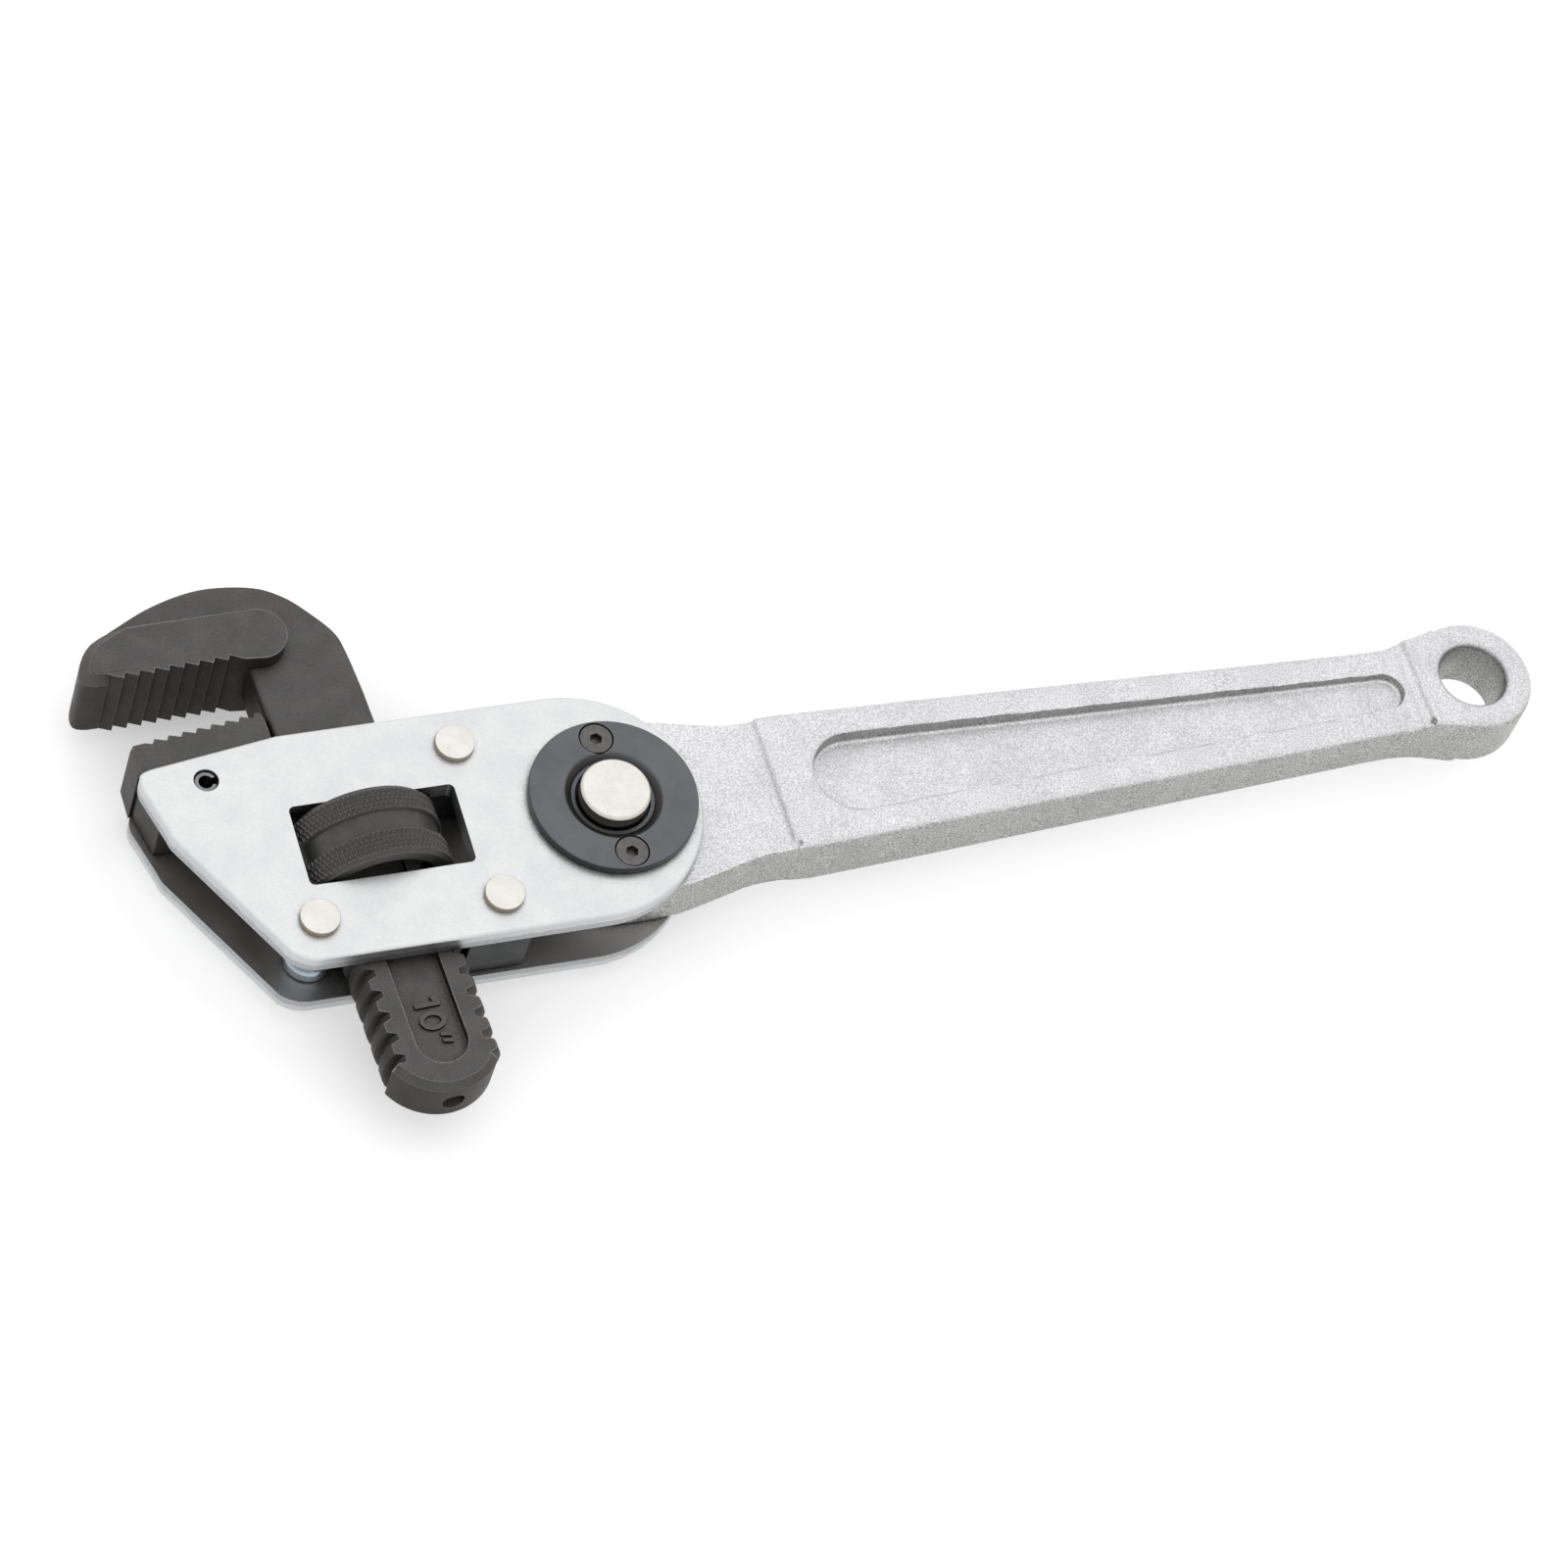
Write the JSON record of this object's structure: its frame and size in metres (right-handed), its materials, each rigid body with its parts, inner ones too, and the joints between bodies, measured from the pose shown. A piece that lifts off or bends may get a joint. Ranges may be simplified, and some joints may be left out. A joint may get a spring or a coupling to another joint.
{
  "type": "pipe wrench",
  "caption": "Pipe wrench with a plate frame, a threaded hook jaw moved by a knurled nut, a fixed heel jaw, and a tapered handle that swings on a button-locked pivot.",
  "frame": {"origin": "on the handle's pivot axis, at the outer face of the rear lock cover", "axes": "+X along the handle to its hanging eye, +Y towards the hook jaw, +Z out of the front plate, along the pivot"},
  "size_m": [0.2631, 0.1037, 0.0282],
  "materials": {
    "zinc_plate": "satin zinc plate",
    "satin_nickel": "satin nickel plate",
    "phosphate": "matt phosphate on forged steel",
    "nut_phosphate": "dark oiled phosphate",
    "black_oxide": "black oxide",
    "ring_oxide": "grey oxide, satin",
    "screw_steel": "plain screw steel",
    "spring_steel": "drawn wire",
    "cast_aluminium": "grainy sand cast"
  },
  "bodies": {
    "frame": {"front_plate": "zinc_plate", "rear_plate": "zinc_plate", "rivet_upper": "satin_nickel", "rivet_lower": "satin_nickel", "rivet_rear": "satin_nickel", "heel_jaw": "phosphate", "heel_jaw_pin": "black_oxide", "upper_guide_block": "black_oxide", "lower_guide_block": "black_oxide", "spacer_sleeve": "zinc_plate", "leaf_spring": "black_oxide", "front_lock_ring": "ring_oxide", "front_screw_upper": "screw_steel", "front_screw_lower": "screw_steel", "rear_cover": "ring_oxide", "rear_screw_upper": "screw_steel", "rear_screw_lower": "screw_steel", "lock_spring": "spring_steel"},
    "handle": {"handle": "cast_aluminium", "handle_bush": "black_oxide"},
    "lock_button": {"lock_button": "satin_nickel", "lock_gear": "black_oxide"},
    "hook_jaw": {"hook_jaw": "phosphate"},
    "adjusting_nut": {"adjusting_nut": "nut_phosphate"}
  },
  "joints": [
    {"name": "handle_swing", "type": "hinge", "parent": "frame", "child": "handle", "pos_m": [0, 0, 0.0108], "axis": [0, 0, 1], "range_deg": [-90, 90]},
    {"name": "button_press", "type": "slide", "parent": "handle", "child": "lock_button", "axis": [0, 0, -1], "range_m": [0, 0.0035], "stiffness_N_per_m": 800, "springref_m": -0.003, "deforming": ["lock_spring"]},
    {"name": "jaw_slide", "type": "slide", "parent": "frame", "child": "hook_jaw", "axis": [-0.0523, 0.9986, 0], "range_m": [-0.0095, 0.03]},
    {"name": "nut_spin", "type": "hinge", "parent": "frame", "child": "adjusting_nut", "pos_m": [-0.0429, 0, 0.0108], "axis": [-0.0523, 0.9986, 0], "range_deg": [-2600, 850]}
  ],
  "couplings": [
    {"joint": "nut_spin", "follows": "jaw_slide", "rad_per_m": -1496}
  ]
}
